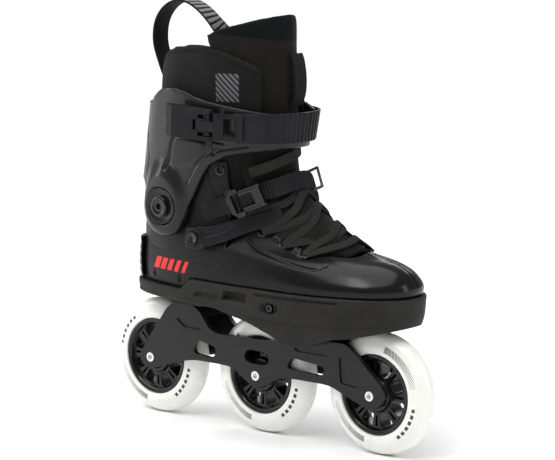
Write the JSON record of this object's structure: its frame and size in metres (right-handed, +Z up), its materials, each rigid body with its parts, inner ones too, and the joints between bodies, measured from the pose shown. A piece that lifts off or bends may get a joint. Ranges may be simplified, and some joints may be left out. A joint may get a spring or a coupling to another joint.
{
  "type": "inline skate",
  "caption": "Right-foot inline skate: moulded boot with hinged cuff, buckle, ratchet strap and laced liner on a metal frame of in-line wheels.",
  "frame": {"origin": "on the ground directly under the middle wheel axle", "axes": "+X towards the toe, +Y towards the inner side of the right foot, +Z up"},
  "size_m": [0.369, 0.1364, 0.3934],
  "materials": {
    "urethane": "gloss",
    "core_plastic": "gloss",
    "steel": "satin",
    "zinc": "satin",
    "frame_metal": "satin",
    "sole_plastic": "matte",
    "shell_plastic": "fine grain",
    "cuff_plastic": "satin",
    "strap_plastic": "matte",
    "gloss_plastic": "gloss",
    "fabric": "woven",
    "webbing": "woven",
    "lace": "braided"
  },
  "bodies": {
    "boot": {"frame": "frame_metal", "mount_bolt_front_outer": "steel", "mount_bolt_front_inner": "steel", "mount_bolt_rear": "steel", "sole": "sole_plastic", "sole_screw_outer": "gloss_plastic", "sole_screw_inner": "gloss_plastic", "shell": "shell_plastic", "heel_bumper": "cuff_plastic", "liner_lower": "fabric", "tongue_lower": "fabric", "laces": "lace", "ankle_washer_outer": "cuff_plastic", "ankle_washer_inner": "cuff_plastic", "ankle_bolt_outer": "gloss_plastic", "ankle_bolt_inner": "gloss_plastic", "instep_screw_outer": "gloss_plastic", "instep_screw_inner": "gloss_plastic", "axle_rear": "zinc", "bearing_hub_outer_rear": "steel", "bearing_hub_inner_rear": "steel", "spacer_rear": "steel", "axle_middle": "zinc", "bearing_hub_outer_middle": "steel", "bearing_hub_inner_middle": "steel", "spacer_middle": "steel", "axle_front": "zinc", "bearing_hub_outer_front": "steel", "bearing_hub_inner_front": "steel", "spacer_front": "steel"},
    "wheel_rear": {"tyre_rear": "urethane", "core_rear": "core_plastic", "bearing_ring_outer_rear": "steel", "bearing_ring_inner_rear": "steel"},
    "wheel_middle": {"tyre_middle": "urethane", "core_middle": "core_plastic", "bearing_ring_outer_middle": "steel", "bearing_ring_inner_middle": "steel"},
    "wheel_front": {"tyre_front": "urethane", "core_front": "core_plastic", "bearing_ring_outer_front": "steel", "bearing_ring_inner_front": "steel"},
    "cuff": {"cuff": "cuff_plastic", "cuff_strap": "strap_plastic", "cuff_strap_screw": "gloss_plastic", "cuff_buckle_base": "strap_plastic", "cuff_lever_pin": "steel", "liner_upper": "fabric", "tongue_upper": "fabric", "heel_loop": "webbing"},
    "cuff_lever": {"cuff_lever": "gloss_plastic"},
    "cuff_link": {"cuff_link": "gloss_plastic"},
    "instep_strap": {"instep_arm_outer": "strap_plastic", "instep_arm_inner": "strap_plastic", "instep_strap": "strap_plastic", "strap_keeper": "steel", "ratchet_body": "gloss_plastic", "ratchet_pin": "steel"},
    "ratchet_lever": {"ratchet_lever": "gloss_plastic"},
    "ratchet_pawl": {"ratchet_pawl": "strap_plastic"}
  },
  "joints": [
    {"name": "wheel_rear_spin", "type": "hinge", "parent": "boot", "child": "wheel_rear", "pos_m": [-0.1295, 0, 0.055], "axis": [0, 1, 0], "continuous": true},
    {"name": "wheel_middle_spin", "type": "hinge", "parent": "boot", "child": "wheel_middle", "pos_m": [0, 0, 0.055], "axis": [0, 1, 0], "continuous": true},
    {"name": "wheel_front_spin", "type": "hinge", "parent": "boot", "child": "wheel_front", "pos_m": [0.1295, 0, 0.055], "axis": [0, 1, 0], "continuous": true},
    {"name": "cuff_flex", "type": "hinge", "parent": "boot", "child": "cuff", "pos_m": [-0.084, 0, 0.207], "axis": [0, 1, 0], "range_deg": [-3, 6], "stiffness_Nm_per_rad": 8},
    {"name": "cuff_lever_open", "type": "hinge", "parent": "cuff", "child": "cuff_lever", "pos_m": [-0.01877, -0.06131, 0.28616], "axis": [0.1022, -0.0827, 0.9913], "range_deg": [0, 100]},
    {"name": "cuff_link_turn", "type": "hinge", "parent": "cuff_lever", "child": "cuff_link", "pos_m": [-0.02719, -0.0651, 0.28671], "axis": [0.1022, -0.0827, 0.9913], "range_deg": [-100, 0]},
    {"name": "instep_swing", "type": "hinge", "parent": "boot", "child": "instep_strap", "pos_m": [-0.047, 0, 0.181], "axis": [0, -1, 0], "range_deg": [0, 2.5]},
    {"name": "ratchet_lever_lift", "type": "hinge", "parent": "instep_strap", "child": "ratchet_lever", "pos_m": [0.02298, -0.04005, 0.22544], "axis": [-0.3057, -0.2399, 0.9214], "range_deg": [0, 70], "stiffness_Nm_per_rad": 0.02, "springref_deg": -17.19},
    {"name": "ratchet_pawl_lift", "type": "hinge", "parent": "instep_strap", "child": "ratchet_pawl", "pos_m": [0.01202, -0.0404, 0.22172], "axis": [-0.3057, -0.2399, 0.9214], "range_deg": [0, 12], "stiffness_Nm_per_rad": 0.02, "springref_deg": -11.46}
  ],
  "couplings": [
    {"joint": "cuff_link_turn", "follows": "cuff_lever_open", "ratio": -1}
  ]
}
